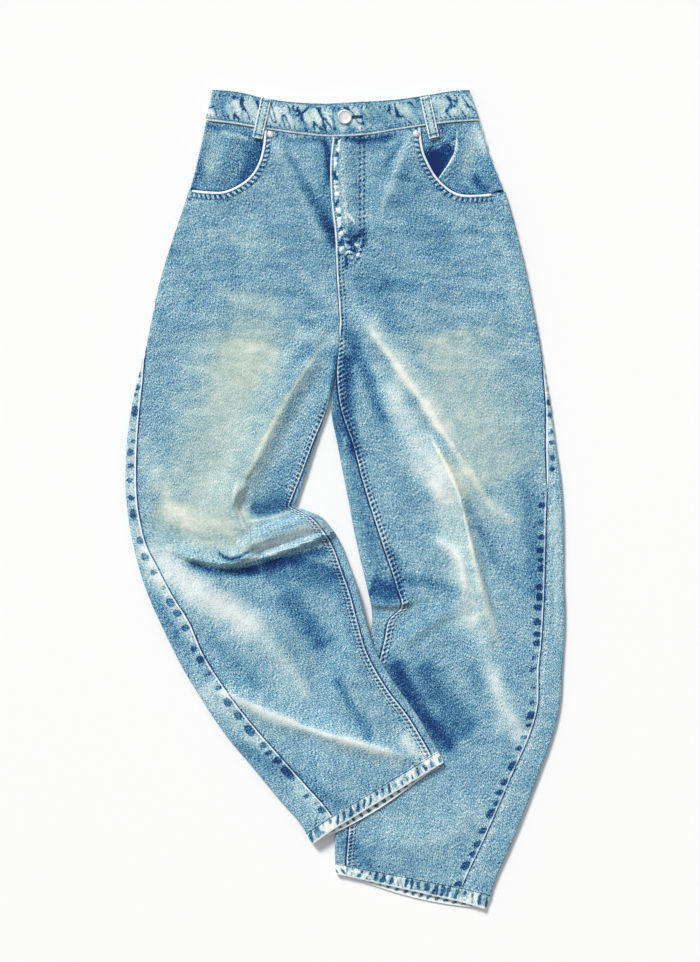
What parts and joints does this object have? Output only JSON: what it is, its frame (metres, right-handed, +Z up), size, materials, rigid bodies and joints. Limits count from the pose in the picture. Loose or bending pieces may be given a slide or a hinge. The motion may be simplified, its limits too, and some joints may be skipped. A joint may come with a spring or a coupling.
{
  "type": "baggy jeans",
  "caption": "Baggy barrel-leg jeans in washed mid-blue denim, laid flat front up, one leg bent at the knee and crossed over the other.",
  "frame": {"origin": "centre of the footprint's bounding box, on the surface that the jeans lie on", "axes": "+Y from the hems towards the waist, +Z up out of the front of the jeans, +X towards the wearer's left leg"},
  "size_m": [0.5367, 0.9995, 0.0207],
  "materials": {
    "washed_denim": "indigo denim twill, stone-washed to a mid blue with pale thighs and white worn seam edges",
    "shaded_denim": "the same denim inside the front pocket openings, less washed and partly in shade",
    "silver_metal": "dull silver jeans hardware, slightly whitened by the wash"
  },
  "bodies": {
    "root": {"front_right": "washed_denim", "front_left": "washed_denim", "back_right": "washed_denim", "back_left": "washed_denim", "yoke_right": "washed_denim", "yoke_left": "washed_denim", "waistband": "washed_denim", "back_pocket_right": "washed_denim", "back_pocket_left": "washed_denim", "belt_loop_right_front": "washed_denim", "belt_loop_left_front": "washed_denim", "belt_loop_right_back": "washed_denim", "belt_loop_centre_back": "washed_denim", "belt_loop_left_back": "washed_denim", "pocket_facing_right": "shaded_denim", "pocket_facing_left": "shaded_denim", "button": "silver_metal", "rivet_right": "silver_metal", "rivet_left": "silver_metal"}
  },
  "joints": []
}
